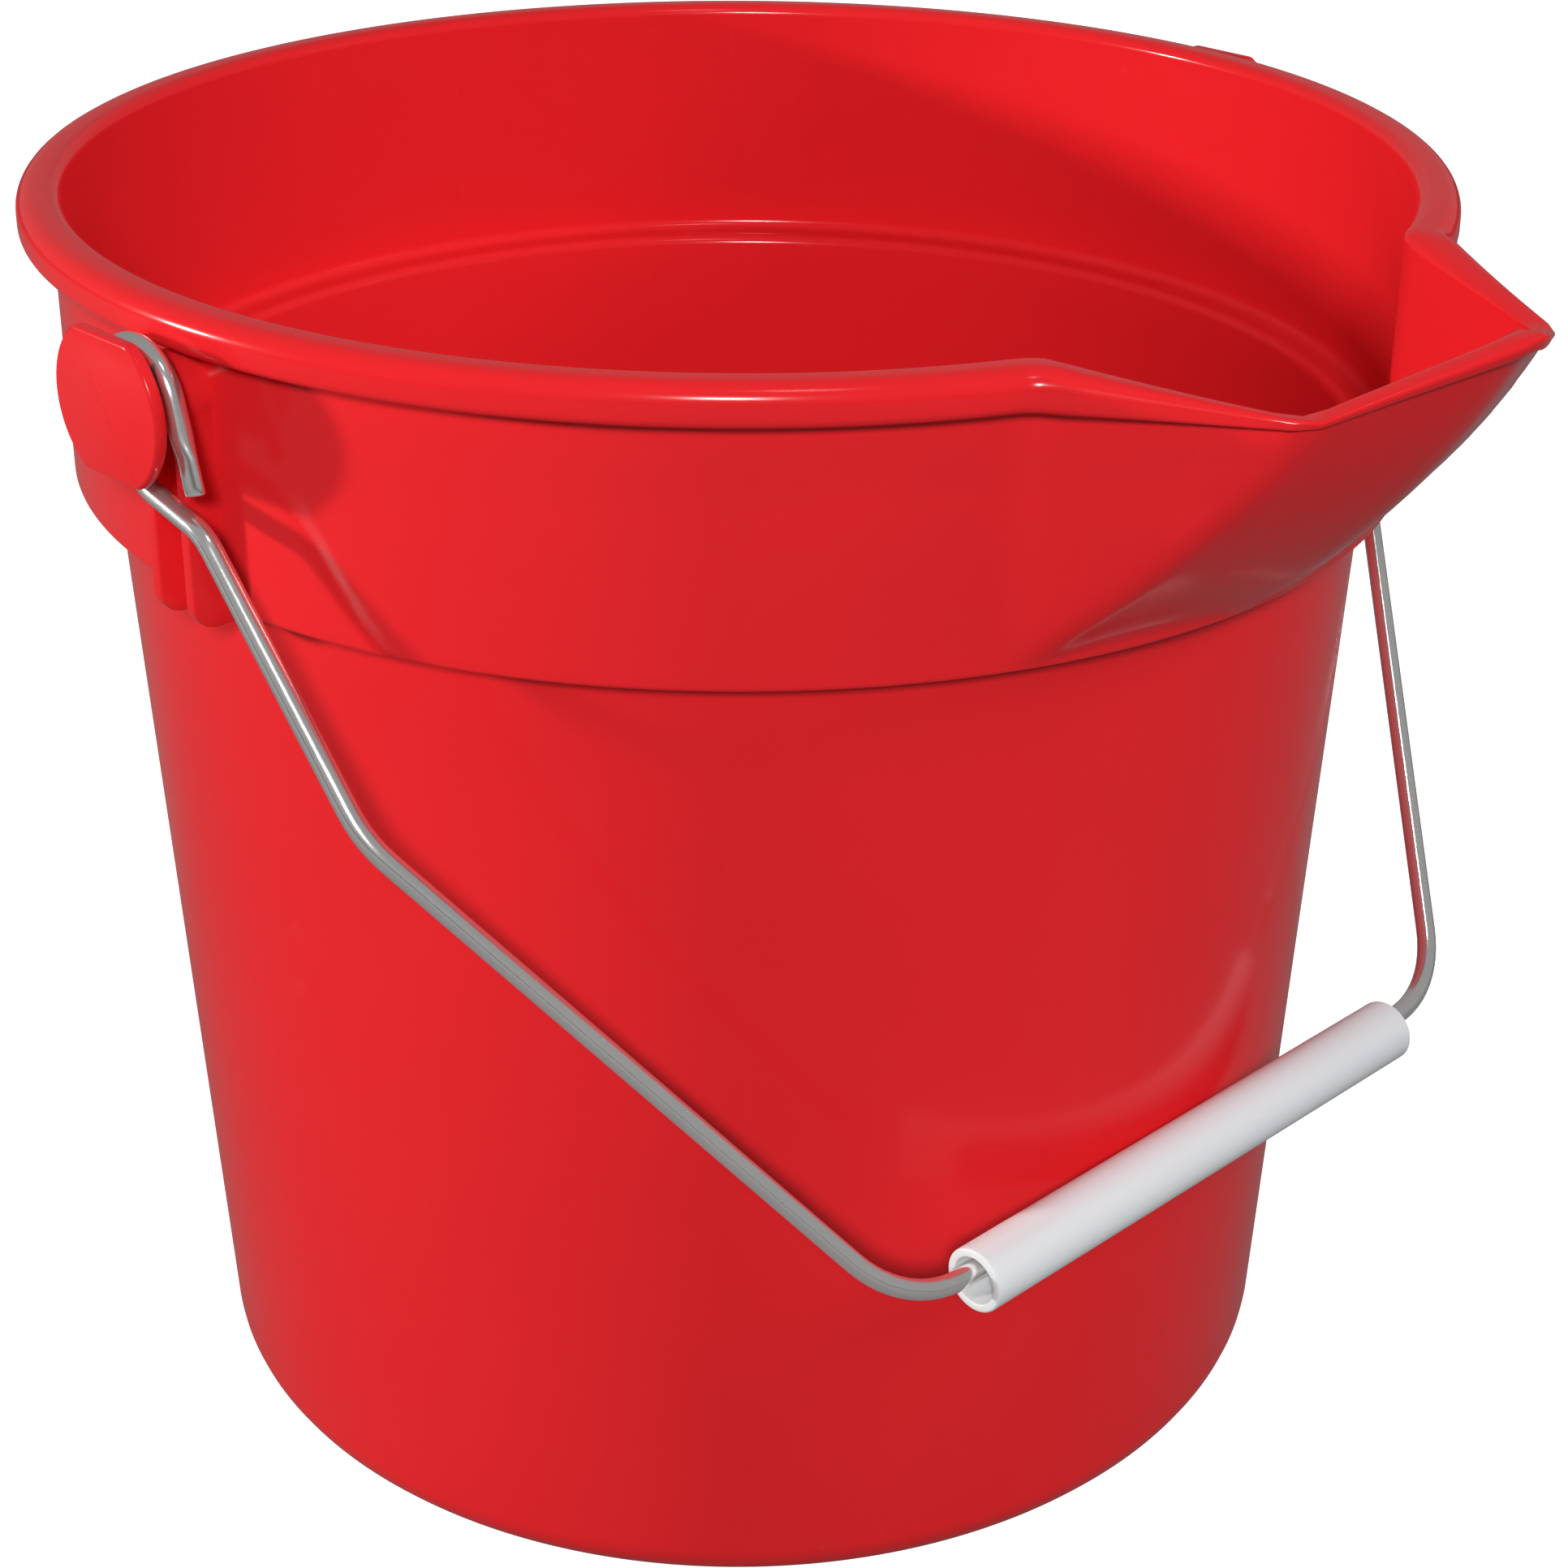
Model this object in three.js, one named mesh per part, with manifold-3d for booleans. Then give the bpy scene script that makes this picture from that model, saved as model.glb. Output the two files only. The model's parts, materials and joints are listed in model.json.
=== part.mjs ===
// Utility wash pail with a pouring spout, a swinging wire bail and a loose tubular grip.
// Millimetres, +Z up. The origin is the centre of the base, where the pail stands. +X points along
// the spout, and Y is the line through both ears that the bail swings about.
import * as THREE from 'three';
import { mergeVertices } from 'three/addons/utils/BufferGeometryUtils.js';
import Module from 'manifold-3d';

// Pail: a tapered lower wall, a step out to a straight skirt, and a thick rounded rim.
const WALL = 2.2;
const FLOOR = 2.6;
const BASE_RADIUS = 109.8;
const STEP_RADIUS = 120.3;
const STEP_HEIGHT = 194.5;
const SKIRT_RADIUS = 127.4;
const RIM_BOTTOM = 240.7;
const RIM_TOP = 247.9;
const RIM_RADIUS = 133.35;
const BASE_FILLET = 8.3;
const STEP_FILLET = 2.4;
const RIM_ROUND = 3;
const TURNS = 96;
const SKIRT_BANDS = 6;

// Spout: two upright side faces run out from the wall, and two overhanging front faces meet at a
// blunt keel. Each face is a plane at its own distance and bearing from the pail's axis.
const SPOUT_SPAN = THREE.MathUtils.degToRad(22.5);
const SIDE_BEARING = THREE.MathUtils.degToRad(66.4);
const SIDE_DISTANCE = 92.66;
const FRONT_BEARING_LOW = THREE.MathUtils.degToRad(13);
const FRONT_BEARING_HIGH = THREE.MathUtils.degToRad(22);
const FRONT_WALL_SLANT = 1.3;
const KEEL_REACH = 48;
const KEEL_BOW = 0.42;

// Lip of the spout at its corner with the rim, at the shoulder between the faces, and at the tip.
const LIP_UNDERSIDE = [RIM_BOTTOM, 242, 251.2];
const LIP_TOP = [RIM_TOP, 243.2, 254.4];
const LIP_WIDTH = [1, 0.15, 0.38];

// Ears: a flat-topped disc on a post, with two ribs under it. They stand a little towards the
// spout, so that the pail hangs level.
const EAR_OFFSET = 2;
const EAR_HEIGHT = 232.6;
const EAR_RADIUS = 14.3;
const EAR_FLAT = 12.2;
const EAR_CORNER = 2;
const EAR_FACE = 143.2;
const EAR_THICKNESS = 2.4;
const EAR_EDGE = 0.6;
const POST_RADIUS = 6.8;
const RIB_OFFSET = 4.8;
const RIB_THICKNESS = 2.5;
const RIB_REACH = 133.4;
const RIB_FOOT = 192;
const RIB_ROUND = 4.5;
const GAP = 0.3;

// Bail: one length of wire, hooked round each ear's post.
const WIRE_RADIUS = 1.9;
const WIRE_SIDES = 8;
const WIRE_STEP = 4.4;
const PIVOT_HEIGHT = 232;
const HANG_ANGLE = THREE.MathUtils.degToRad(38.96);
const HOOK_PLANE = 136.4;
const HOOK_RADIUS = 9.8;
const TAIL_END = [18.2, 2.9];
const JOG_START = 11;
const JOG_END = 24;
const JOG_BEND = 9;
const SHOULDER_PLANE = 134;
const SHOULDER_DROP = 79.9;
const SHOULDER_BEND = 24;
const CORNER_PLANE = 76.7;
const CORNER_DROP = 188.91;
const CORNER_BEND = 22;

// Grip: a plain tube that hangs on the wire.
const GRIP_RADIUS = 6.1;
const GRIP_BORE = 4;
const GRIP_LENGTH = 121;
const GRIP_EDGE = 0.9;
const GRIP_SAG = 2;
const GRIP_TURNS = 24;

const red = new THREE.MeshStandardMaterial({ color: 0xdc2026, roughness: 0.3, metalness: 0 });
const zinc = new THREE.MeshStandardMaterial({ color: 0xb9bab6, roughness: 0.25, metalness: 1 });
const white = new THREE.MeshStandardMaterial({ color: 0xe7e6e2, roughness: 0.45, metalness: 0 });

const wasm = await Module();
wasm.setup();

const lerp = THREE.MathUtils.lerp;
const at = (x, y) => new THREE.Vector2(x, y);

// Points of an arc round (cx, cy), from one angle to the other, both in degrees.
function arc(cx, cy, radius, from, to, steps) {
  const points = [];
  for (let i = 0; i <= steps; i += 1) {
    const angle = THREE.MathUtils.degToRad(lerp(from, to, i / steps));
    points.push(at(cx + radius * Math.cos(angle), cy + radius * Math.sin(angle)));
  }
  return points;
}

const lowerWallRadius = (z) => lerp(BASE_RADIUS, STEP_RADIUS, z / STEP_HEIGHT);

// Half-section of the pail: up the outside, over the rim, and down the inside to the floor.
function pailSection() {
  const outerFootRadius = lowerWallRadius(BASE_FILLET) - BASE_FILLET;
  const innerFillet = BASE_FILLET - WALL;
  const innerWall = SKIRT_RADIUS - WALL;
  const ledge = STEP_HEIGHT + WALL;
  const ledgeEdge = STEP_RADIUS - WALL;
  const rimOuter = RIM_RADIUS - RIM_ROUND;
  const points = [at(0, 0)];
  points.push(...arc(outerFootRadius, BASE_FILLET, BASE_FILLET, -90, -3, 4));
  points.push(at(STEP_RADIUS, STEP_HEIGHT));
  points.push(...arc(SKIRT_RADIUS - 1, STEP_HEIGHT + 1, 1, -90, 0, 1));
  for (let i = 1; i <= SKIRT_BANDS; i += 1) {
    points.push(at(SKIRT_RADIUS, lerp(STEP_HEIGHT + 1, RIM_BOTTOM, i / SKIRT_BANDS)));
  }
  points.push(at(RIM_RADIUS - 1, RIM_BOTTOM));
  points.push(at(RIM_RADIUS, RIM_BOTTOM + 1));
  points.push(...arc(rimOuter, RIM_TOP - RIM_ROUND, RIM_ROUND, 0, 90, 3));
  points.push(...arc(innerWall + RIM_ROUND, RIM_TOP - RIM_ROUND, RIM_ROUND, 90, 180, 3));
  for (let i = 1; i < SKIRT_BANDS; i += 1) {
    points.push(at(innerWall, lerp(RIM_BOTTOM, ledge + STEP_FILLET, i / SKIRT_BANDS)));
  }
  points.push(...arc(innerWall - STEP_FILLET, ledge + STEP_FILLET, STEP_FILLET, 0, -90, 2));
  points.push(...arc(ledgeEdge + STEP_FILLET, ledge - STEP_FILLET, STEP_FILLET, 90, 180, 2));
  points.push(...arc(outerFootRadius, BASE_FILLET + FLOOR - WALL, innerFillet, -3, -90, 3));
  points.push(at(0, FLOOR));
  return points;
}

// Radius of the spout's wall at a bearing and height. offset is outwards from the wall's outside.
function spoutRadius(bearing, z, offset) {
  const rise = THREE.MathUtils.clamp((z - STEP_HEIGHT) / (LIP_TOP[2] - STEP_HEIGHT), 0, 1);
  const keel = SKIRT_RADIUS + KEEL_REACH * (rise + KEEL_BOW * rise * (1 - rise));
  const frontBearing = lerp(FRONT_BEARING_LOW, FRONT_BEARING_HIGH, rise);
  const frontOffset = offset < 0 ? FRONT_WALL_SLANT * offset : offset;
  const front = (keel * Math.cos(frontBearing) + frontOffset) / Math.cos(bearing - frontBearing);
  const side = (SIDE_DISTANCE + offset) / Math.cos(bearing - SIDE_BEARING);
  return Math.max(SKIRT_RADIUS + offset, Math.min(side, front));
}

// Value on the lip. along runs from 0 at the corner, through a half at the shoulder, to 1 at the tip.
function onLip(along, [corner, shoulder, tip]) {
  return along < 0.5 ? lerp(corner, shoulder, 2 * along) : lerp(shoulder, tip, 2 * along - 1);
}

// Moves a point of the round pail out to its place on the spout.
function pullSpout(point) {
  const bearing = Math.abs(Math.atan2(point.y, point.x));
  const along = 1 - bearing / SPOUT_SPAN;
  if (along < -0.01 || point.z < STEP_HEIGHT + 0.5) {
    return;
  }
  const radius = Math.hypot(point.x, point.y);
  const underside = onLip(along, LIP_UNDERSIDE);
  if (point.z > RIM_BOTTOM) {
    const share = (point.z - RIM_BOTTOM) / (RIM_TOP - RIM_BOTTOM);
    point.z = lerp(underside, onLip(along, LIP_TOP), share);
  } else {
    point.z = THREE.MathUtils.mapLinear(point.z, STEP_HEIGHT, RIM_BOTTOM, STEP_HEIGHT, underside);
  }
  const offset = (radius - SKIRT_RADIUS) * (radius > SKIRT_RADIUS ? onLip(along, LIP_WIDTH) : 1);
  const scale = spoutRadius(bearing, point.z, offset) / radius;
  point.x *= scale;
  point.y *= scale;
}

function pailGeometry() {
  const geometry = new THREE.LatheGeometry(pailSection(), TURNS);
  geometry.rotateX(Math.PI / 2);
  const position = geometry.attributes.position;
  const point = new THREE.Vector3();
  for (let i = 0; i < position.count; i += 1) {
    point.fromBufferAttribute(position, i);
    pullSpout(point);
    position.setXYZ(i, point.x, point.y, point.z);
  }
  geometry.computeVertexNormals();
  return geometry;
}

function solidOf(geometry) {
  const bare = geometry.index ? geometry.clone() : geometry;
  bare.deleteAttribute('normal');
  bare.deleteAttribute('uv');
  const merged = mergeVertices(bare, 1e-4);
  const mesh = new wasm.Mesh({
    numProp: 3,
    vertProperties: new Float32Array(merged.attributes.position.array),
    triVerts: new Uint32Array(merged.index.array),
  });
  return new wasm.Manifold(mesh);
}

function geometryOf(solid) {
  const mesh = solid.getMesh();
  const geometry = new THREE.BufferGeometry();
  geometry.setAttribute('position', new THREE.BufferAttribute(mesh.vertProperties, 3));
  geometry.setIndex(new THREE.BufferAttribute(mesh.triVerts, 1));
  geometry.computeVertexNormals();
  return geometry;
}

// The space that the pail's outside fills near an ear, with the running gap added.
function pailSpace() {
  const low = RIB_FOOT - 10;
  const points = [
    at(0, low),
    at(lowerWallRadius(low) + GAP, low),
    at(lowerWallRadius(STEP_HEIGHT) + GAP, STEP_HEIGHT - GAP),
    at(SKIRT_RADIUS + GAP, STEP_HEIGHT - GAP),
    at(SKIRT_RADIUS + GAP, RIM_BOTTOM),
    at(0, RIM_BOTTOM),
  ];
  return new THREE.LatheGeometry(points, 4 * TURNS).rotateX(Math.PI / 2);
}

// Disc with its top and bottom cut flat and its corners rounded, facing +Y.
function earDisc() {
  const rise = EAR_FLAT - EAR_CORNER;
  const across = Math.sqrt((EAR_RADIUS - EAR_CORNER) ** 2 - rise ** 2);
  const turn = THREE.MathUtils.radToDeg(Math.atan2(rise, across));
  const outline = [
    ...arc(across, rise, EAR_CORNER, turn, 90, 3),
    ...arc(-across, rise, EAR_CORNER, 90, 180 - turn, 3),
    ...arc(0, 0, EAR_RADIUS, 180 - turn, 180 + turn, 8).slice(1, -1),
    ...arc(-across, -rise, EAR_CORNER, 180 + turn, 270, 3),
    ...arc(across, -rise, EAR_CORNER, 270, 360 - turn, 3),
    ...arc(0, 0, EAR_RADIUS, -turn, turn, 8).slice(1, -1),
  ];
  const geometry = new THREE.ExtrudeGeometry(new THREE.Shape(outline), {
    depth: EAR_THICKNESS - 2 * EAR_EDGE,
    bevelSize: EAR_EDGE,
    bevelThickness: EAR_EDGE,
    bevelOffset: -EAR_EDGE,
    bevelSegments: 2,
  });
  geometry.rotateX(Math.PI / 2);
  return geometry.translate(0, EAR_FACE - EAR_EDGE, EAR_HEIGHT);
}

function earPost() {
  const inner = SKIRT_RADIUS - WALL;
  const outer = EAR_FACE - 0.5 * EAR_THICKNESS;
  const geometry = new THREE.CylinderGeometry(POST_RADIUS, POST_RADIUS, outer - inner, 24);
  return geometry.translate(0, 0.5 * (inner + outer), EAR_HEIGHT);
}

// Upright rib in the Y-Z plane, with its lower outer corner rounded.
function earRib(side) {
  const inner = STEP_RADIUS - WALL;
  const round = arc(RIB_REACH - RIB_ROUND, RIB_FOOT + RIB_ROUND, RIB_ROUND, -90, 0, 4);
  const outline = [at(inner, RIB_FOOT), ...round, at(RIB_REACH, EAR_HEIGHT), at(inner, EAR_HEIGHT)];
  const geometry = new THREE.ExtrudeGeometry(new THREE.Shape(outline), {
    depth: RIB_THICKNESS,
    bevelEnabled: false,
  });
  geometry.rotateX(Math.PI / 2);
  geometry.rotateZ(Math.PI / 2);
  return geometry.translate(side * RIB_OFFSET - 0.5 * RIB_THICKNESS, 0, 0);
}

// side is +1 for the ear at +Y and -1 for the ear at -Y.
function earGeometry(side) {
  const joined = solidOf(earDisc())
    .add(solidOf(earPost()))
    .add(solidOf(earRib(-1)))
    .add(solidOf(earRib(1)))
    .translate([side * EAR_OFFSET, 0, 0])
    .subtract(solidOf(pailSpace()));
  const geometry = geometryOf(joined);
  return side < 0 ? geometry.rotateZ(Math.PI) : geometry;
}

// Arc between two points at the same distance from a centre.
class BendCurve extends THREE.Curve {
  constructor(centre, from, to) {
    super();
    this.centre = centre;
    this.from = from.clone().sub(centre);
    this.to = to.clone().sub(centre);
    this.angle = this.from.angleTo(this.to);
  }

  getPoint(t, target = new THREE.Vector3()) {
    const a = Math.sin((1 - t) * this.angle) / Math.sin(this.angle);
    const b = Math.sin(t * this.angle) / Math.sin(this.angle);
    return target.copy(this.centre).addScaledVector(this.from, a).addScaledVector(this.to, b);
  }
}

// Straight runs between corners, with each corner bent to its own radius.
function bentPath(corners) {
  const path = new THREE.CurvePath();
  let start = corners[0].point;
  for (let i = 1; i < corners.length - 1; i += 1) {
    const { point, bend } = corners[i];
    const back = corners[i - 1].point.clone().sub(point).normalize();
    const ahead = corners[i + 1].point.clone().sub(point).normalize();
    const half = 0.5 * back.angleTo(ahead);
    const from = point.clone().addScaledVector(back, bend / Math.tan(half));
    const to = point.clone().addScaledVector(ahead, bend / Math.tan(half));
    const middle = back.clone().add(ahead).normalize();
    const centre = point.clone().addScaledVector(middle, bend / Math.sin(half));
    if (from.distanceTo(start) > 0.01) {
      path.add(new THREE.LineCurve3(start, from));
    }
    path.add(new BendCurve(centre, from, to));
    start = to;
  }
  path.add(new THREE.LineCurve3(start, corners[corners.length - 1].point));
  return path;
}

// Corners of one half of the bail as it hangs straight down from the pivot: drop is below the
// pivot, across is towards +X, plane is the distance out along Y.
function bailHalf(side) {
  const corner = (drop, across, plane, bend) => ({
    point: new THREE.Vector3(across, side * plane, -drop),
    bend,
  });
  const [tailDrop, tailAcross] = TAIL_END;
  const tailLean = Math.asin(HOOK_RADIUS / Math.hypot(tailDrop, tailAcross))
    - Math.atan2(tailAcross, tailDrop);
  const hookTurn = 0.5 * Math.PI + tailLean;
  return [
    corner(tailDrop, tailAcross, HOOK_PLANE, 0),
    corner(-HOOK_RADIUS, HOOK_RADIUS * Math.tan(0.5 * hookTurn), HOOK_PLANE, HOOK_RADIUS),
    corner(-HOOK_RADIUS, -HOOK_RADIUS, HOOK_PLANE, HOOK_RADIUS),
    corner(JOG_START, -HOOK_RADIUS, HOOK_PLANE, JOG_BEND),
    corner(JOG_END, 0, HOOK_PLANE, JOG_BEND),
    corner(SHOULDER_DROP, 0, SHOULDER_PLANE, SHOULDER_BEND),
    corner(CORNER_DROP, 0, CORNER_PLANE, CORNER_BEND),
  ];
}

function bailGeometry() {
  const path = bentPath([...bailHalf(-1), ...bailHalf(1).reverse()]);
  const section = [];
  for (let i = 0; i < WIRE_SIDES; i += 1) {
    const angle = (i + 0.5) * 2 * Math.PI / WIRE_SIDES;
    section.push(at(WIRE_RADIUS * Math.cos(angle), WIRE_RADIUS * Math.sin(angle)));
  }
  return new THREE.ExtrudeGeometry(new THREE.Shape(section), {
    steps: Math.round(path.getLength() / WIRE_STEP),
    bevelEnabled: false,
    extrudePath: path,
  });
}

function gripGeometry() {
  const half = 0.5 * GRIP_LENGTH;
  const section = [
    at(GRIP_BORE, -half),
    at(GRIP_RADIUS - GRIP_EDGE, -half),
    at(GRIP_RADIUS, GRIP_EDGE - half),
    at(GRIP_RADIUS, half - GRIP_EDGE),
    at(GRIP_RADIUS - GRIP_EDGE, half),
    at(GRIP_BORE, half),
    at(GRIP_BORE, -half),
  ];
  return new THREE.LatheGeometry(section, GRIP_TURNS);
}

function named(name, geometry, material) {
  const mesh = new THREE.Mesh(geometry, material);
  mesh.name = name;
  return mesh;
}

// The bail is built hanging straight down and swung out until the grip lies against the wall.
function hangingBail() {
  const group = new THREE.Group();
  group.position.set(EAR_OFFSET, 0, PIVOT_HEIGHT);
  group.rotation.y = -HANG_ANGLE;
  const grip = named('grip', gripGeometry(), white);
  grip.position.set(-GRIP_SAG * Math.sin(HANG_ANGLE), 0, -CORNER_DROP - GRIP_SAG * Math.cos(HANG_ANGLE));
  group.add(named('bail', bailGeometry(), zinc));
  group.add(grip);
  return group;
}

const bucket = new THREE.Group();
bucket.add(named('pail', pailGeometry(), red));
bucket.add(named('left_ear', earGeometry(1), red));
bucket.add(named('right_ear', earGeometry(-1), red));
bucket.add(hangingBail());

export default bucket;
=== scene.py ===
import json
import math

import bmesh
import bpy
from mathutils import Matrix, Vector


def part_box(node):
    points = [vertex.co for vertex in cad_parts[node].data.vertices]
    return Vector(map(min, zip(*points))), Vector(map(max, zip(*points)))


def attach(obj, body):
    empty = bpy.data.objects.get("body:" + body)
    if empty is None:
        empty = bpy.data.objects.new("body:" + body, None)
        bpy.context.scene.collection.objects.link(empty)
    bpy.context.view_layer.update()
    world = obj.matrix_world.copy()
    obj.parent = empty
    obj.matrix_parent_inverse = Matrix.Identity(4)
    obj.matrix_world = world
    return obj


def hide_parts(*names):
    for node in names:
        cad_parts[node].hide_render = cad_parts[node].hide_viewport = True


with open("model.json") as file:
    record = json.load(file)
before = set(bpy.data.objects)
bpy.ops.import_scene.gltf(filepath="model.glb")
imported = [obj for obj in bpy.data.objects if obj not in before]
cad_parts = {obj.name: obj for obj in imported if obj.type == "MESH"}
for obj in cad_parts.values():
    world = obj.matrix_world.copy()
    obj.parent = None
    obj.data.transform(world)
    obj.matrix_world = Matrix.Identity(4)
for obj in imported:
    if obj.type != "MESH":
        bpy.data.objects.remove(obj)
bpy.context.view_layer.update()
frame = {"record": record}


# ---------------------------------------------------------------------------------------------
# Pail. One injection moulding in red polypropylene: a tapered bucket, a step out to an upright
# skirt, a thick rolled rim, and a pouring spout whose flat faces are drawn out of the skirt.
# It is turned here from its half-section, and the spout is then drawn out of the turned wall.
# ---------------------------------------------------------------------------------------------
MM = 0.001
pail_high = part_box("pail")[1]
wall = 2.2 * MM
floor_thickness = 2.6 * MM
base_radius = 109.8 * MM
step_radius = 120.3 * MM
step_height = 194.5 * MM
skirt_radius = 127.4 * MM
rim_radius = pail_high.y
rim_bottom = 240.7 * MM
rim_top = 247.9 * MM
turns = 288
merge_distance = 0.01 * MM


def tangent_length(before, corner, after, radius):
    """How far along its two edges a corner of this radius starts."""
    opening = (before - corner).angle(after - corner)
    return radius / math.tan(opening / 2)


def draw_section(bm, corners):
    """Half-section in the X-Z plane: (radius, height, rounding, cuts in the run that follows)."""
    points = [Vector((r, 0, z)) for r, z, *rest in corners]
    verts = [bm.verts.new(p) for p in points]
    runs = [bm.edges.new(pair) for pair in zip(verts, verts[1:])]
    for run, corner in zip(runs, corners):
        if corner[3]:
            bmesh.ops.subdivide_edges(bm, edges=[run], cuts=corner[3])
    for i in range(1, len(corners) - 1):
        if corners[i][2]:
            reach = tangent_length(points[i - 1], points[i], points[i + 1], corners[i][2])
            corner = min(bm.verts, key=lambda v: (v.co - points[i]).length)
            bmesh.ops.bevel(bm, geom=[corner], offset=reach, offset_type="OFFSET",
                            affect="VERTICES", segments=8, profile=0.5, material=-1)


def turn_section(bm, steps):
    bmesh.ops.spin(bm, geom=bm.verts[:] + bm.edges[:], cent=(0, 0, 0), axis=(0, 0, 1),
                   angle=2 * math.pi, steps=steps, use_merge=True)
    bmesh.ops.remove_doubles(bm, verts=bm.verts[:], dist=merge_distance)
    bmesh.ops.recalc_face_normals(bm, faces=bm.faces[:])


inner_skirt = skirt_radius - wall
ledge = step_height + wall
taper = (step_radius - base_radius) / step_height
pail_section = [
    (0, 0, 0, 6),
    (base_radius, 0, 8.3 * MM, 24),
    (step_radius, step_height, 0.5 * MM, 0),
    (skirt_radius, step_height, 1.0 * MM, 22),
    (skirt_radius, rim_bottom, 0.5 * MM, 0),
    (rim_radius, rim_bottom, 1.6 * MM, 0),
    (rim_radius, rim_top, 3.4 * MM, 0),
    (inner_skirt, rim_top, 2.6 * MM, 22),
    (inner_skirt, ledge, 2.4 * MM, 0),
    (step_radius - wall, ledge, 2.2 * MM, 24),
    (base_radius - wall + taper * floor_thickness, floor_thickness, 6.5 * MM, 6),
    (0, floor_thickness, 0, 0),
]


# The spout: two upright side faces and two overhanging front faces, each flat and set by its
# bearing and its distance from the pail's axis.
spout_span = math.radians(22.5)
side_bearing = math.radians(66.4)
side_distance = 92.66 * MM
front_bearing_low, front_bearing_high = math.radians(13), math.radians(22)
front_slant = 1.3
keel_reach = 48 * MM
keel_bow = 0.42
keel_round = 0.022
face_round = 3 * MM
tip_height = pail_high.z
lip_underside = (rim_bottom, 242.0 * MM, 251.2 * MM)    # at the spout's root, shoulder and tip
lip_top = (rim_top, 243.2 * MM, tip_height)
lip_width = (1.0, 0.15, 0.38)


def round_between(a, b, size, pick):
    """The larger or smaller of two distances, rounded over where they are nearly equal."""
    near = max(size - abs(a - b), 0) / size
    return pick(a, b) + (1 if pick is max else -1) * near * near * size / 4


def spout_wall(bearing, height, offset):
    """Radius of the spout's wall, with offset measured outwards from its outer face."""
    rise = min(max((height - step_height) / (tip_height - step_height), 0), 1)
    keel = skirt_radius + keel_reach * (rise + keel_bow * rise * (1 - rise))
    facing = front_bearing_low + (front_bearing_high - front_bearing_low) * rise
    front_offset = offset * (front_slant if offset < 0 else 1)
    front = (keel * math.cos(facing) + front_offset) / math.cos(bearing - facing)
    side = (side_distance + offset) / math.cos(bearing - side_bearing)
    drawn = round_between(side, front, face_round, min)
    root_round = min(face_round, max(height - step_height, merge_distance))
    return round_between(skirt_radius + offset, drawn, root_round, max)


def lip_line(along, levels, softness):
    """A height or share on the lip, in two straight runs that meet at the spout's shoulder."""
    at_root, at_shoulder, at_tip = levels
    first = at_root + (at_shoulder - at_root) * 2 * along
    second = at_shoulder + (at_tip - at_shoulder) * (2 * along - 1)
    return round_between(first, second, softness, max)


def draw_out_spout(bm):
    """Moves the turned wall and rim outwards to the spout's faces, and lifts its lip."""
    for vert in bm.verts:
        radius, z = math.hypot(vert.co.x, vert.co.y), vert.co.z
        true_bearing = abs(math.atan2(vert.co.y, vert.co.x))
        if z < step_height + 0.6 * MM or true_bearing > 1.5 * spout_span or radius < step_radius:
            continue
        bearing = math.hypot(true_bearing, keel_round)
        along = max(1 - true_bearing / spout_span, 0)
        underside = lip_line(along, lip_underside, 0.8 * MM)
        top = lip_line(along, lip_top, 0.8 * MM)
        width = lip_line(along, lip_width, 0.1)
        if along == 0:
            underside, top, width = rim_bottom, rim_top, 1
        if z > rim_bottom:
            share = (z - rim_bottom) / (rim_top - rim_bottom)
            z = underside + (top - underside) * share
        else:
            share = (z - step_height) / (rim_bottom - step_height)
            z = step_height + (underside - step_height) * share
        offset = (radius - skirt_radius) * (width if radius > skirt_radius else 1)
        drawn = spout_wall(bearing, z, offset)
        vert.co = Vector((vert.co.x * drawn / radius, vert.co.y * drawn / radius, z))


def finished_piece(name, bm, body, stands_for):
    """Turns a bmesh into a piece of the object that moves with its body."""
    mesh = bpy.data.meshes.new(name)
    bm.to_mesh(mesh)
    bm.free()
    mesh.shade_smooth()
    piece = bpy.data.objects.new(name, mesh)
    bpy.context.scene.collection.objects.link(piece)
    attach(piece, body)
    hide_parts(stands_for)
    return piece


bm = bmesh.new()
draw_section(bm, pail_section)
turn_section(bm, turns)
draw_out_spout(bm)
pail = finished_piece("pail_moulding", bm, "pail", "pail")


def new_material(name):
    material = bpy.data.materials.new(name)
    material.use_nodes = True
    material.node_tree.nodes.clear()
    return material, material.node_tree


def add_node(tree, kind, settings=(), **inputs):
    """Adds a node. An input given as a node's output is linked, and any other value is set."""
    node = tree.nodes.new(kind)
    for key, value in dict(settings).items():
        setattr(node, key, value)
    for key, value in inputs.items():
        place = int(key[1:]) if key[1:].isdigit() else key.replace("_", " ")
        socket = node.inputs[place]
        if isinstance(value, bpy.types.NodeSocket):
            tree.links.new(value, socket)
        else:
            socket.default_value = value
    return node


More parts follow.
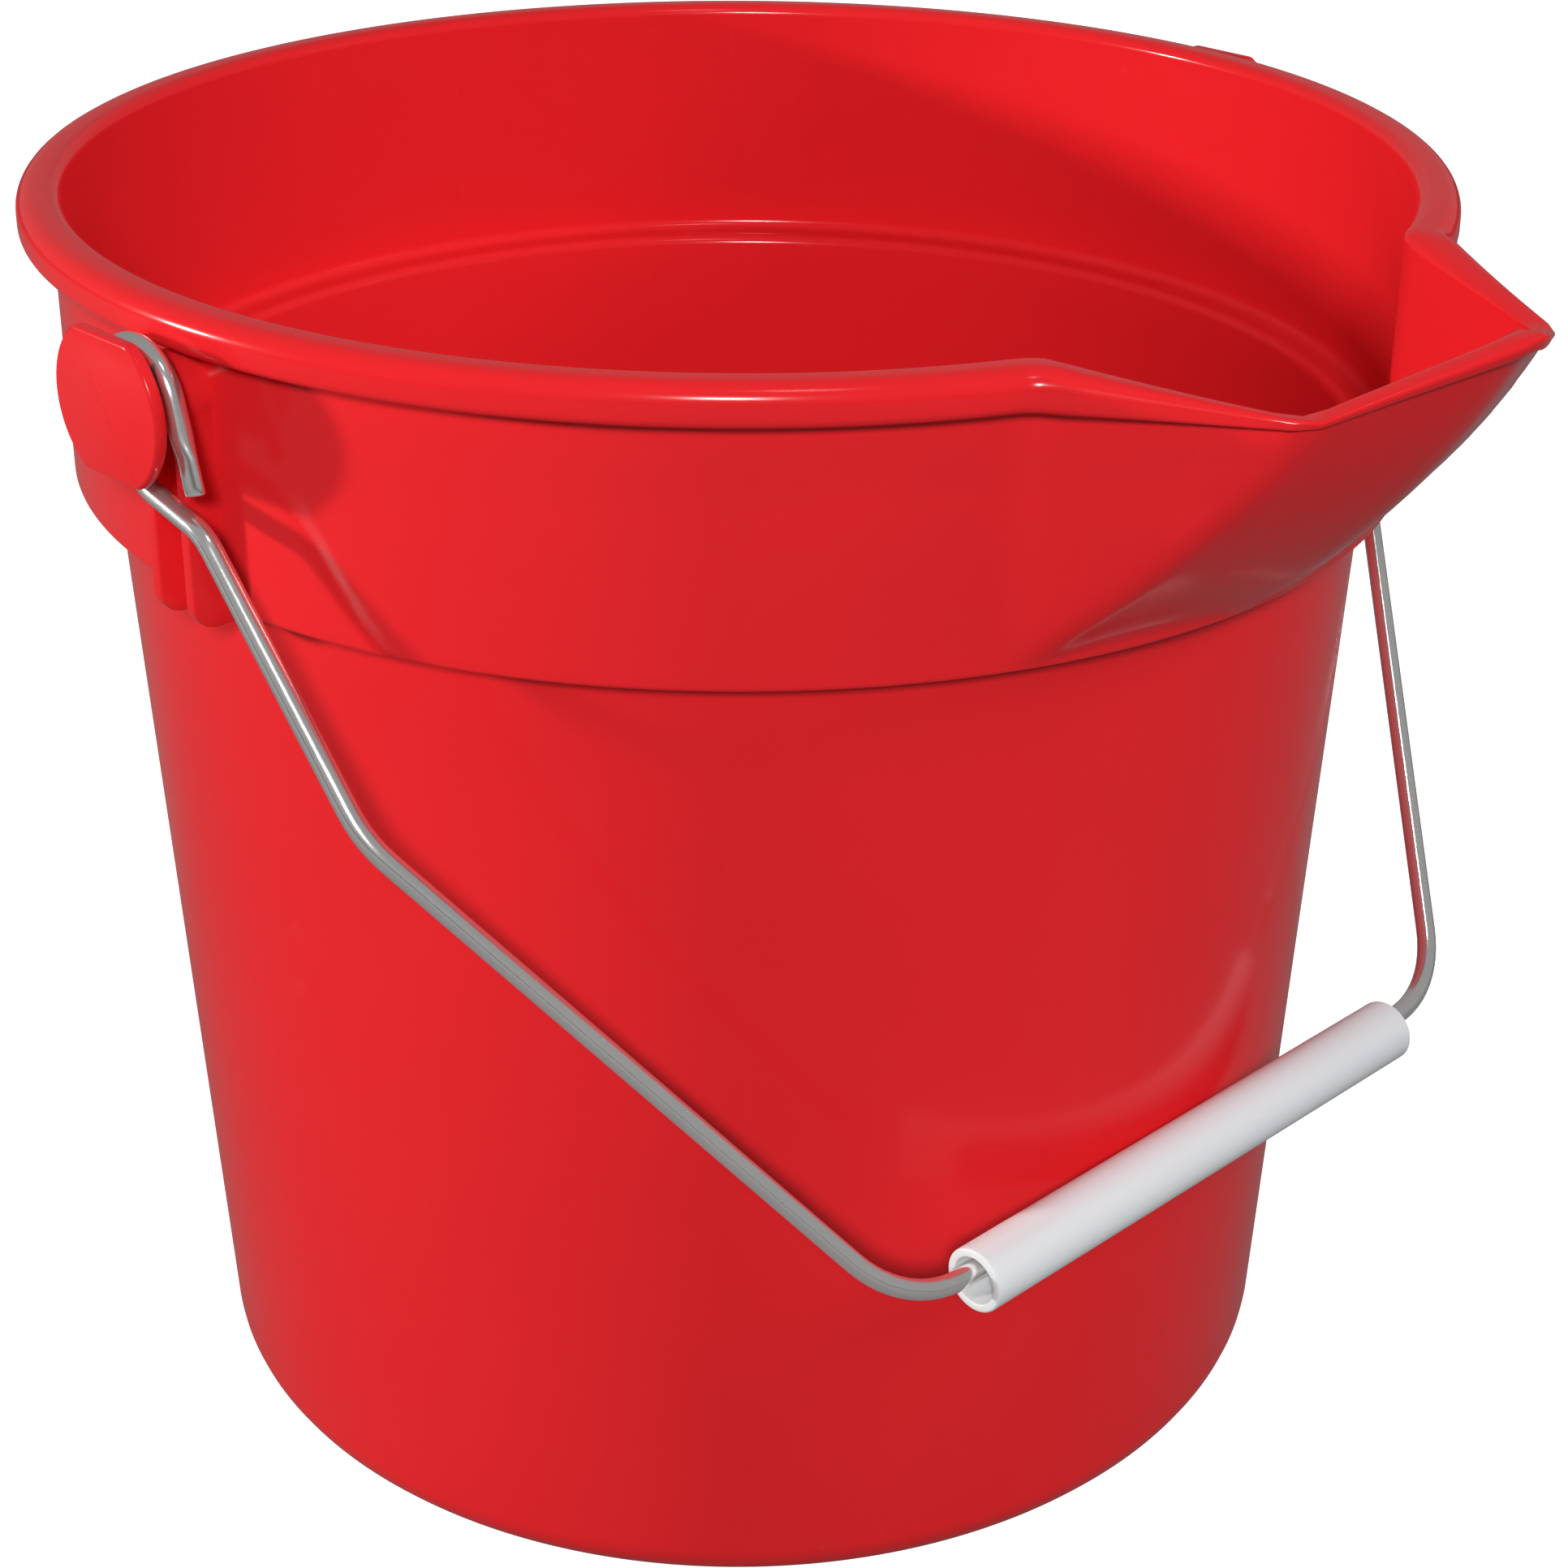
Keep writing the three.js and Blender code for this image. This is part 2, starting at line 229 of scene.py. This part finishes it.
def handling_marks():
    """Fine moulding grain, a slow waviness and sparse soft scuffs, shared by all the plastic."""
    tree = bpy.data.node_groups.new("handling marks", "ShaderNodeTree")
    for name, low, high, start in (("Grain Size", 0, 20000, 2500.0), ("Waviness", 0, 10, 1.0)):
        socket = tree.interface.new_socket(name, in_out="INPUT", socket_type="NodeSocketFloat")
        socket.min_value, socket.max_value, socket.default_value = low, high, start
    for name in ("Height", "Scuffs", "Mottle"):
        tree.interface.new_socket(name, in_out="OUTPUT", socket_type="NodeSocketFloat")
    given = tree.nodes.new("NodeGroupInput")
    place = tree.nodes.new("ShaderNodeTexCoord").outputs["Object"]
    grain = add_node(tree, "ShaderNodeTexNoise", Vector=place, Scale=given.outputs["Grain Size"],
                     Detail=3.0, Roughness=0.6)
    waves = add_node(tree, "ShaderNodeTexNoise", Vector=place, Scale=26.0, Detail=1.0)
    mottle = add_node(tree, "ShaderNodeTexNoise", Vector=place, Scale=9.0, Detail=5.0, Roughness=0.55)
    wave_height = add_node(tree, "ShaderNodeMath", {"operation": "MULTIPLY"},
                           _0=waves.outputs["Fac"], _1=given.outputs["Waviness"])
    height = add_node(tree, "ShaderNodeMath", {"operation": "MULTIPLY_ADD"},
                      _0=grain.outputs["Fac"], _1=0.02, _2=wave_height.outputs[0])
    stretched = add_node(tree, "ShaderNodeMapping", Vector=place, Rotation=(0.5, 0.3, 0.0),
                         Scale=(60.0, 420.0, 60.0))
    streaks = add_node(tree, "ShaderNodeTexNoise", Vector=stretched.outputs["Vector"], Scale=1.0,
                       Detail=4.0, Roughness=0.7)
    scuffs = add_node(tree, "ShaderNodeMapRange", Value=streaks.outputs["Fac"], From_Min=0.66,
                      From_Max=0.8)
    out = tree.nodes.new("NodeGroupOutput")
    tree.links.new(height.outputs[0], out.inputs["Height"])
    tree.links.new(scuffs.outputs["Result"], out.inputs["Scuffs"])
    tree.links.new(mottle.outputs["Fac"], out.inputs["Mottle"])
    return tree


marks_group = handling_marks()


def red_polypropylene():
    material, tree = new_material("red polypropylene")
    marks = add_node(tree, "ShaderNodeGroup", {"node_tree": marks_group}, Grain_Size=3000.0,
                     Waviness=0.5)
    colour = add_node(tree, "ShaderNodeMix", {"data_type": "RGBA"}, Factor=marks.outputs["Mottle"],
                      _6=(0.72, 0.014, 0.019, 1), _7=(0.80, 0.019, 0.024, 1))
    scuffed = add_node(tree, "ShaderNodeMath", {"operation": "MULTIPLY"},
                       _0=marks.outputs["Scuffs"], _1=0.05)
    surface = add_node(tree, "ShaderNodeMix", {"data_type": "RGBA"}, Factor=scuffed.outputs[0],
                       _6=colour.outputs[2], _7=(0.86, 0.25, 0.24, 1))
    gloss = add_node(tree, "ShaderNodeMapRange", Value=marks.outputs["Mottle"], To_Min=0.14,
                     To_Max=0.2)
    relief = add_node(tree, "ShaderNodeBump", Strength=0.25, Distance=0.0004,
                      Height=marks.outputs["Height"])
    shader = add_node(tree, "ShaderNodeBsdfPrincipled", Base_Color=surface.outputs[2],
                      Roughness=gloss.outputs["Result"], Normal=relief.outputs["Normal"])
    shader.inputs["Specular IOR Level"].default_value = 0.2
    add_node(tree, "ShaderNodeOutputMaterial", Surface=shader.outputs["BSDF"])
    return material


red_plastic = red_polypropylene()
pail.data.materials.append(red_plastic)


# ---------------------------------------------------------------------------------------------
# Ears. Moulded with the pail: a round boss standing off the skirt under the rim carries a disc
# with its top and bottom cut flat, which keeps the wire from slipping off, and two thin ribs
# brace the boss down to the bucket's wall.
# ---------------------------------------------------------------------------------------------
ear_thickness = 2.4 * MM
ear_corner = 2.0 * MM
post_radius = 6.8 * MM
rib_offset = 4.8 * MM
rib_thickness = 2.5 * MM
rib_reach = 133.4 * MM
ear_flat = 12.2 * MM
quarter_turn = Matrix.Rotation(math.pi / 2, 3, "X")
half_turn = Matrix.Rotation(math.pi, 3, "Z")
sharp_edge = 1.2


def extrude_faces(bm, faces, along):
    made = bmesh.ops.extrude_face_region(bm, geom=faces)["geom"]
    moved = [part for part in made if isinstance(part, bmesh.types.BMVert)]
    bmesh.ops.translate(bm, verts=moved, vec=along)
    bmesh.ops.recalc_face_normals(bm, faces=bm.faces[:])


def soften(bm, edges, radius, segments=4):
    bmesh.ops.bevel(bm, geom=edges, offset=radius, offset_type="OFFSET", affect="EDGES",
                    segments=segments, profile=0.5, material=-1)


def sharp_edges(bm):
    """Edges where two faces meet at nearly a right angle."""
    return [e for e in bm.edges if len(e.link_faces) == 2 and e.calc_face_angle(0) > sharp_edge]


def ear_disc(radius, flat):
    """Disc in the X-Z plane about the origin, growing towards +Y."""
    bm = bmesh.new()
    bmesh.ops.create_circle(bm, cap_ends=True, radius=radius, segments=96)
    bmesh.ops.rotate(bm, verts=bm.verts[:], cent=(0, 0, 0), matrix=quarter_turn)
    for side in (1, -1):
        bmesh.ops.bisect_plane(bm, geom=bm.verts[:] + bm.edges[:] + bm.faces[:], dist=0.001 * MM,
                               plane_co=(0, 0, side * flat), plane_no=(0, 0, side),
                               clear_outer=True)
    across = math.sqrt(radius ** 2 - flat ** 2)
    reach = ear_corner * math.tan(math.atan2(across, flat) / 2)
    corners = [v for v in bm.verts
               if abs(abs(v.co.z) - flat) < merge_distance and abs(abs(v.co.x) - across) < 0.3 * MM]
    bmesh.ops.bevel(bm, geom=corners, offset=reach, offset_type="OFFSET", affect="VERTICES",
                    segments=6, profile=0.5, material=-1)
    extrude_faces(bm, bm.faces[:], (0, ear_thickness, 0))
    soften(bm, sharp_edges(bm), 0.7 * MM)
    return bm


def ear_post(length):
    """Round boss along Y."""
    bm = bmesh.new()
    bmesh.ops.create_cone(bm, cap_ends=True, cap_tris=False, segments=48, radius1=post_radius,
                          radius2=post_radius, depth=length)
    bmesh.ops.rotate(bm, verts=bm.verts[:], cent=(0, 0, 0), matrix=quarter_turn)
    return bm


def ear_rib(foot, head):
    """Upright plate in the Y-Z plane, rooted in the wall, with its lower outer corner rounded."""
    bm = bmesh.new()
    low_root, high_root = step_radius - wall / 2, skirt_radius - wall / 2
    shelf = step_height + wall / 2
    outline = [(low_root, foot), (rib_reach, foot), (rib_reach, head), (high_root, head),
               (high_root, shelf), (low_root, shelf)]
    verts = [bm.verts.new((-rib_thickness / 2, y, z)) for y, z in outline]
    bm.faces.new(verts)
    bmesh.ops.bevel(bm, geom=[verts[1]], offset=4.5 * MM, offset_type="OFFSET",
                    affect="VERTICES", segments=8, profile=0.5, material=-1)
    extrude_faces(bm, bm.faces[:], (rib_thickness, 0, 0))
    soften(bm, sharp_edges(bm), 0.45 * MM, 3)
    return bm


def joined(bodies):
    """One closed body from several that overlap."""
    parts = []
    for shape in bodies:
        mesh = bpy.data.meshes.new("part")
        shape.to_mesh(mesh)
        shape.free()
        part = bpy.data.objects.new("part", mesh)
        bpy.context.scene.collection.objects.link(part)
        parts.append(part)
    for part in parts[1:]:
        join = parts[0].modifiers.new("join", "BOOLEAN")
        join.operation, join.object, join.solver = "UNION", part, "MANIFOLD"
    ready = parts[0].evaluated_get(bpy.context.evaluated_depsgraph_get())
    bm = bmesh.new()
    bm.from_mesh(ready.to_mesh())
    for part in parts:
        bpy.data.objects.remove(part)
    return bm


def make_ear(name):
    """The left ear stands at +Y and the right ear at -Y."""
    low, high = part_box(name)
    side = 1 if high.y > 0 else -1
    face = max(abs(low.y), abs(high.y))
    centre = (low.x + high.x) / 2
    middle = high.z - ear_flat
    disc = ear_disc((high.x - low.x) / 2, ear_flat)
    bmesh.ops.translate(disc, verts=disc.verts[:], vec=(0, face - ear_thickness, middle))
    post_start = skirt_radius - wall / 2
    post_end = face - ear_thickness / 2
    post = ear_post(post_end - post_start)
    bmesh.ops.translate(post, verts=post.verts[:], vec=(0, (post_start + post_end) / 2, middle))
    ribs = []
    for across in (-rib_offset, rib_offset):
        rib = ear_rib(low.z, middle + 2 * MM)
        bmesh.ops.translate(rib, verts=rib.verts[:], vec=(across, 0, 0))
        ribs.append(rib)
    bm = joined([disc, post] + ribs)
    if side < 0:
        bmesh.ops.rotate(bm, verts=bm.verts[:], cent=(0, 0, 0), matrix=half_turn)
    bmesh.ops.translate(bm, verts=bm.verts[:], vec=(centre, 0, 0))
    ear = finished_piece(name + "_moulding", bm, "pail", name)
    ear.data.set_sharp_from_angle(angle=math.radians(35))
    ear.data.materials.append(red_plastic)


for ear_name in ("left_ear", "right_ear"):
    make_ear(ear_name)


# ---------------------------------------------------------------------------------------------
# Bail. One length of bright zinc-plated steel wire, bent cold on a jig: a straight run through
# the grip, an arm each side, a joggle, and an open hook round each ear's boss. The last few
# millimetres of each hook are pressed flat by the tool that closes it.
# ---------------------------------------------------------------------------------------------
joints = {joint["name"]: joint for joint in frame["record"]["behaviour"]["joints"]}
pivot = Vector(joints["bail_swing"]["pos_m"])
grip_axis = Vector(joints["grip_spin"]["pos_m"])
grip_sag = 2.0 * MM
wire_radius = 1.9 * MM
hook_plane = 136.4 * MM
hook_radius = 9.8 * MM
tail_drop, tail_across = 18.2 * MM, 2.9 * MM
pressed_length = 8.5 * MM


def run_straight(bm, ring, along):
    """Draws the wire's section along a straight run, and gives the new section's edges."""
    made = bmesh.ops.extrude_edge_only(bm, edges=ring)["geom"]
    verts = [part for part in made if isinstance(part, bmesh.types.BMVert)]
    bmesh.ops.translate(bm, verts=verts, vec=along)
    moved = set(verts)
    return [part for part in made
            if isinstance(part, bmesh.types.BMEdge) and set(part.verts) <= moved]


def bend_wire(bm, corners):
    """Draws the wire's section through the corners, bending each to its own radius."""
    heading = (corners[1][0] - corners[0][0]).normalized()
    ring = bmesh.ops.create_circle(bm, cap_ends=False, radius=wire_radius, segments=24)["verts"]
    bmesh.ops.rotate(bm, verts=ring, cent=(0, 0, 0),
                     matrix=heading.to_track_quat("Z", "X").to_matrix())
    bmesh.ops.translate(bm, verts=ring, vec=corners[0][0])
    edges = bm.edges[:]
    place = corners[0][0]
    for i in range(1, len(corners) - 1):
        corner, bend = corners[i]
        onward = (corners[i + 1][0] - corner).normalized()
        turn = heading.angle(onward)
        start = corner - heading * bend * math.tan(turn / 2)
        if (start - place).length > 0.02 * MM:
            edges = run_straight(bm, edges, start - place)
        axis = heading.cross(onward).normalized()
        centre = start + axis.cross(heading) * bend
        steps = max(4, round(math.degrees(turn) / 5))
        turned = bmesh.ops.spin(bm, geom=edges, cent=centre, axis=axis, angle=turn, steps=steps)
        edges = [part for part in turned["geom_last"] if isinstance(part, bmesh.types.BMEdge)]
        place = corner + onward * bend * math.tan(turn / 2)
        heading = onward
    last = corners[-1][0] - place
    for _ in range(10):
        edges = run_straight(bm, edges, last / 10)
    bmesh.ops.edgeloop_fill(bm, edges=edges)


def press_tail(bm):
    """Flattens the last of the hook's tail: thinner across the jaws and a little wider."""
    tail_end = Vector((tail_across, hook_plane, -tail_drop))
    hook_foot = Vector((hook_radius, hook_plane, 0))
    along = (tail_end - hook_foot).normalized()
    wide = along.cross(Vector((0, 1, 0)))
    for vert in bm.verts:
        back = (tail_end - vert.co).dot(along)
        spine = tail_end - along * back
        offset = vert.co - spine
        if -0.5 * MM < back < pressed_length and offset.length < 2 * wire_radius:
            press = min((pressed_length - back) / (2 * MM), 1)
            vert.co.y = spine.y + offset.y * (1 - 0.3 * press)
            vert.co += wide * offset.dot(wide) * 0.26 * press


forward, down = grip_axis.x - pivot.x, pivot.z - grip_axis.z - grip_sag
hang, drop = math.atan2(forward, down), math.hypot(forward, down)
tail_lean = math.asin(hook_radius / math.hypot(tail_drop, tail_across))
tail_lean -= math.atan2(tail_across, tail_drop)
hook_turn = math.pi / 2 + tail_lean
bail_corners = [
    (Vector((0, 0, -drop)), 0),
    (Vector((0, 76.7 * MM, -drop)), 22 * MM),
    (Vector((0, 134 * MM, -79.9 * MM)), 24 * MM),
    (Vector((0, hook_plane, -24 * MM)), 9 * MM),
    (Vector((-hook_radius, hook_plane, -11 * MM)), 9 * MM),
    (Vector((-hook_radius, hook_plane, hook_radius)), hook_radius),
    (Vector((hook_radius * math.tan(hook_turn / 2), hook_plane, hook_radius)), hook_radius),
    (Vector((tail_across, hook_plane, -tail_drop)), 0),
]
bm = bmesh.new()
bend_wire(bm, bail_corners)
press_tail(bm)
soften(bm, sharp_edges(bm), 0.25 * MM, 3)
bmesh.ops.mirror(bm, geom=bm.verts[:] + bm.edges[:] + bm.faces[:], matrix=Matrix.Identity(4),
                 merge_dist=merge_distance, axis="Y")
bmesh.ops.remove_doubles(bm, verts=bm.verts[:], dist=merge_distance / 2)
bmesh.ops.recalc_face_normals(bm, faces=bm.faces[:])
bmesh.ops.rotate(bm, verts=bm.verts[:], cent=(0, 0, 0), matrix=Matrix.Rotation(-hang, 3, "Y"))
bmesh.ops.translate(bm, verts=bm.verts[:], vec=pivot)
bail = finished_piece("bail_wire", bm, "bail", "bail")


def bright_zinc():
    material, tree = new_material("bright zinc plate")
    place = tree.nodes.new("ShaderNodeTexCoord").outputs["Object"]
    crystals = add_node(tree, "ShaderNodeTexNoise", Vector=place, Scale=700.0, Detail=4.0)
    tarnish = add_node(tree, "ShaderNodeTexNoise", Vector=place, Scale=45.0, Detail=3.0)
    colour = add_node(tree, "ShaderNodeMix", {"data_type": "RGBA"}, Factor=tarnish.outputs["Fac"],
                      _6=(0.78, 0.80, 0.82, 1), _7=(0.92, 0.89, 0.84, 1))
    gloss = add_node(tree, "ShaderNodeMapRange", Value=crystals.outputs["Fac"], To_Min=0.12,
                     To_Max=0.2)
    relief = add_node(tree, "ShaderNodeBump", Strength=0.12, Distance=0.0001,
                      Height=crystals.outputs["Fac"])
    shader = add_node(tree, "ShaderNodeBsdfPrincipled", Base_Color=colour.outputs[2], Metallic=0.88,
                      Roughness=gloss.outputs["Result"], Normal=relief.outputs["Normal"])
    add_node(tree, "ShaderNodeOutputMaterial", Surface=shader.outputs["BSDF"])
    return material


bail.data.materials.append(bright_zinc())


# ---------------------------------------------------------------------------------------------
# Grip. A plain length of thick-walled natural polyethylene tube, cut square, its ends rounded,
# and threaded on the wire before the hooks are bent. It hangs from the wire and turns freely.
# ---------------------------------------------------------------------------------------------
grip_low, grip_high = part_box("grip")
grip_radius = 6.1 * MM
grip_bore = 4.5 * MM
grip_half = (grip_high.y - grip_low.y) / 2

bm = bmesh.new()
for radius in (grip_radius, grip_bore):
    bmesh.ops.create_circle(bm, cap_ends=False, radius=radius, segments=64)
bmesh.ops.bridge_loops(bm, edges=bm.edges[:])
extrude_faces(bm, bm.faces[:], (0, 0, 2 * grip_half))
mid_wall = (grip_radius + grip_bore) / 2
soften(bm, [e for e in sharp_edges(bm) if e.verts[0].co.xy.length > mid_wall], 0.5 * MM, 4)
soften(bm, [e for e in sharp_edges(bm) if e.verts[0].co.xy.length < mid_wall], 0.25 * MM, 3)
bmesh.ops.translate(bm, verts=bm.verts[:], vec=(0, 0, -grip_half))
bmesh.ops.rotate(bm, verts=bm.verts[:], cent=(0, 0, 0), matrix=quarter_turn)
bmesh.ops.translate(bm, verts=bm.verts[:], vec=grip_axis)
grip = finished_piece("hand_grip", bm, "grip", "grip")


def natural_polyethylene():
    material, tree = new_material("natural polyethylene")
    marks = add_node(tree, "ShaderNodeGroup", {"node_tree": marks_group}, Grain_Size=5000.0,
                     Waviness=0.3)
    colour = add_node(tree, "ShaderNodeMix", {"data_type": "RGBA"}, Factor=marks.outputs["Mottle"],
                      _6=(0.68, 0.70, 0.72, 1), _7=(0.76, 0.78, 0.79, 1))
    gloss = add_node(tree, "ShaderNodeMapRange", Value=marks.outputs["Mottle"], To_Min=0.38,
                     To_Max=0.5)
    relief = add_node(tree, "ShaderNodeBump", Strength=0.3, Distance=0.0002,
                      Height=marks.outputs["Height"])
    shader = add_node(tree, "ShaderNodeBsdfPrincipled", Base_Color=colour.outputs[2],
                      Roughness=gloss.outputs["Result"], Normal=relief.outputs["Normal"], IOR=1.5)
    shader.inputs["Subsurface Weight"].default_value = 0.25
    shader.inputs["Subsurface Radius"].default_value = (1.0, 0.9, 0.8)
    shader.inputs["Subsurface Scale"].default_value = 0.002
    add_node(tree, "ShaderNodeOutputMaterial", Surface=shader.outputs["BSDF"])
    return material


grip.data.materials.append(natural_polyethylene())


# ---------------------------------------------------------------------------------------------
# Studio. A wide pale floor, soft lights and the camera. The floor looks white to the camera, but
# throws back less light, so that the red plastic and the bright wire keep their depth.
# ---------------------------------------------------------------------------------------------
bm = bmesh.new()
bmesh.ops.create_grid(bm, x_segments=2, y_segments=2, size=9)
bmesh.ops.translate(bm, verts=bm.verts[:], vec=(0, 0, -0.2 * MM))
floor_mesh = bpy.data.meshes.new("floor")
bm.to_mesh(floor_mesh)
bm.free()
floor = bpy.data.objects.new("floor", floor_mesh)
bpy.context.scene.collection.objects.link(floor)
material, tree = new_material("white floor")
seen = add_node(tree, "ShaderNodeBsdfDiffuse", Color=(0.5, 0.5, 0.5, 1))
bounced = add_node(tree, "ShaderNodeBsdfDiffuse", Color=(0.22, 0.22, 0.22, 1))
ray = tree.nodes.new("ShaderNodeLightPath")
glow = add_node(tree, "ShaderNodeEmission", Color=(1, 1, 1, 1), Strength=0.9)
lit = add_node(tree, "ShaderNodeAddShader", _0=seen.outputs["BSDF"], _1=glow.outputs["Emission"])
blend = add_node(tree, "ShaderNodeMixShader", _0=ray.outputs["Is Camera Ray"],
                 _1=bounced.outputs["BSDF"], _2=lit.outputs["Shader"])
add_node(tree, "ShaderNodeOutputMaterial", Surface=blend.outputs["Shader"])
floor.data.materials.append(material)


def soft_light(name, azimuth, elevation, distance, size, power, colour=(1, 1, 1)):
    """A square soft box that faces the pail. Azimuth 0 is in front of the right ear."""
    lamp = bpy.data.lights.new(name, "AREA")
    lamp.shape = "SQUARE"
    lamp.size = size
    lamp.energy = power
    lamp.color = colour
    turn, lift = math.radians(azimuth), math.radians(elevation)
    outwards = Vector((math.sin(turn) * math.cos(lift), -math.cos(turn) * math.cos(lift),
                       math.sin(lift)))
    light = bpy.data.objects.new(name, lamp)
    light.location = Vector((0, 0, 0.15)) + outwards * distance
    light.rotation_euler = (-outwards).to_track_quat("-Z", "Y").to_euler()
    bpy.context.scene.collection.objects.link(light)
    return light


soft_light("left box", -41, 11, 1.7, 0.1, 19.5, (1.0, 0.99, 0.96))
soft_light("front box", 44, 28, 1.6, 0.2, 16.5)
soft_light("right box", 132, 32, 1.7, 0.5, 12, (0.96, 0.98, 1.0)).visible_glossy = False
soft_light("top box", 60, 64, 1.5, 0.15, 1.2, (0.92, 0.96, 1.0))
soft_light("rear box", 222, 16, 1.9, 0.6, 9).visible_glossy = False

world = bpy.data.worlds.new("studio")
bpy.context.scene.world = world
world.use_nodes = True
tree = world.node_tree
tree.nodes.clear()
ray = tree.nodes.new("ShaderNodeLightPath")
level = add_node(tree, "ShaderNodeMapRange", Value=ray.outputs["Is Glossy Ray"], To_Min=0.07,
                 To_Max=0.25)
backdrop = add_node(tree, "ShaderNodeMath", {"operation": "MAXIMUM"}, _0=level.outputs["Result"],
                    _1=ray.outputs["Is Camera Ray"])
sky = add_node(tree, "ShaderNodeBackground", Color=(1, 1, 1, 1), Strength=backdrop.outputs[0])
add_node(tree, "ShaderNodeOutputWorld", Surface=sky.outputs["Background"])
bpy.context.scene.view_settings.view_transform = "Standard"

lens = bpy.data.cameras.new("camera")
lens.sensor_width = 36
lens.lens = 71.46
lens.shift_x, lens.shift_y = -0.0342, -0.0469
lens.clip_start, lens.clip_end = 0.01, 50
camera = bpy.data.objects.new("camera", lens)
camera.location = (0.41629, -0.39643, 0.40172)
camera.rotation_euler = (math.radians(64.859), math.radians(-0.626), math.radians(44.797))
bpy.context.scene.collection.objects.link(camera)
bpy.context.scene.camera = camera
